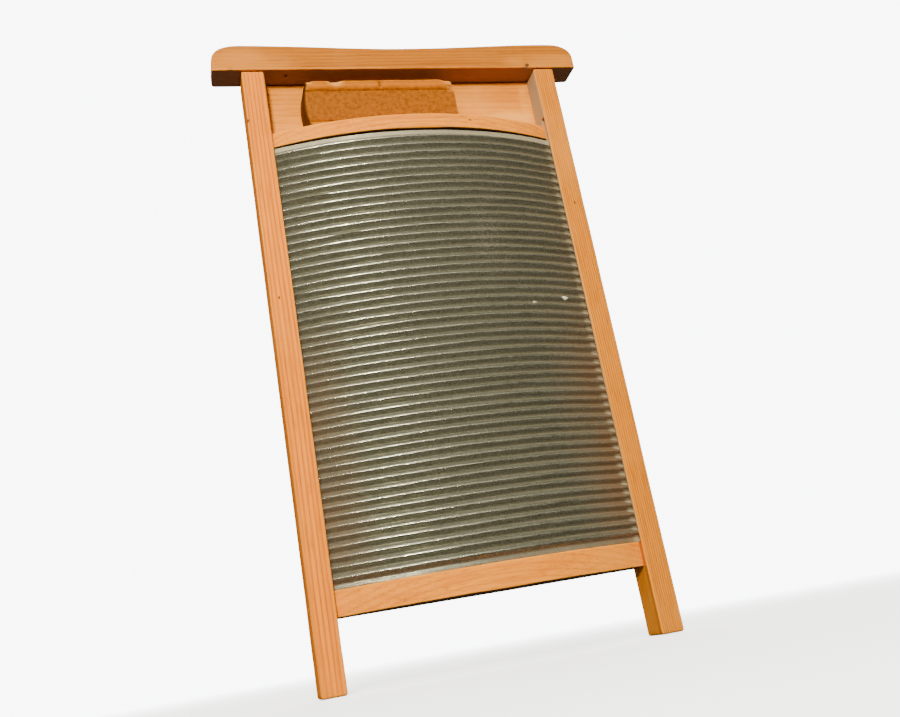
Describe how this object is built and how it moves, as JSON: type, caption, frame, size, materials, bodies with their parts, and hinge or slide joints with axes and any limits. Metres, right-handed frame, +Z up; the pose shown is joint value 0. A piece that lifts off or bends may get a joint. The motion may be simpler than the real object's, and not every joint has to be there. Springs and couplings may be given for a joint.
{
  "type": "washboard",
  "caption": "Wooden washboard: bowed, corrugated zinc rubbing sheet between two grooved legs, handle rail above, soap tray with a loose bar of soap, boarded back.",
  "frame": {"origin": "on the floor under the middle of the whole object's bounding box", "axes": "+Z up along the legs, +X to the right of someone facing the rubbing sheet, -Y the side the sheet bulges to"},
  "size_m": [0.371, 0.0548, 0.6014],
  "materials": {
    "rail_wood": "bare, handled, worn smooth",
    "leg_wood": "bare, straight grain, weathered on the inner faces",
    "ledge_wood": "bare, planed, small knots",
    "board_wood": "bare, thin board, faded",
    "zinc": "dull rolled zinc with bright worn crests and brown stains",
    "nail_steel": "dark, lightly rusted",
    "soap": "amber, slightly translucent, chipped edges"
  },
  "bodies": {
    "board": {"left_leg": "leg_wood", "right_leg": "leg_wood", "top_rail": "rail_wood", "soap_ledge": "ledge_wood", "lower_crosspiece": "ledge_wood", "tray_back": "board_wood", "back_board_1": "board_wood", "back_board_2": "board_wood", "back_board_3": "board_wood", "zinc_sheet": "zinc", "tenon_pin_left": "nail_steel", "tenon_pin_right": "nail_steel", "ledge_nail_left_front": "nail_steel", "ledge_nail_left_rear": "nail_steel", "ledge_nail_right_front": "nail_steel", "ledge_nail_right_rear": "nail_steel", "lower_nail_left_front": "nail_steel", "lower_nail_left_rear": "nail_steel", "lower_nail_right_front": "nail_steel", "lower_nail_right_rear": "nail_steel", "tray_tack_left_upper": "nail_steel", "tray_tack_right_upper": "nail_steel", "tray_tack_left_lower": "nail_steel", "tray_tack_right_lower": "nail_steel", "board_1_tack_left_lower": "nail_steel", "board_1_tack_left_upper": "nail_steel", "board_1_tack_right_lower": "nail_steel", "board_1_tack_right_upper": "nail_steel", "board_2_tack_left_lower": "nail_steel", "board_2_tack_left_upper": "nail_steel", "board_2_tack_right_lower": "nail_steel", "board_2_tack_right_upper": "nail_steel", "board_3_tack_left_lower": "nail_steel", "board_3_tack_left_upper": "nail_steel", "board_3_tack_right_lower": "nail_steel", "board_3_tack_right_upper": "nail_steel"},
    "soap": {"soap_bar": "soap"}
  },
  "joints": [
    {"name": "soap_pull", "type": "slide", "parent": "board", "child": "soap", "axis": [0, -1, 0], "range_m": [0, 0.06]}
  ]
}
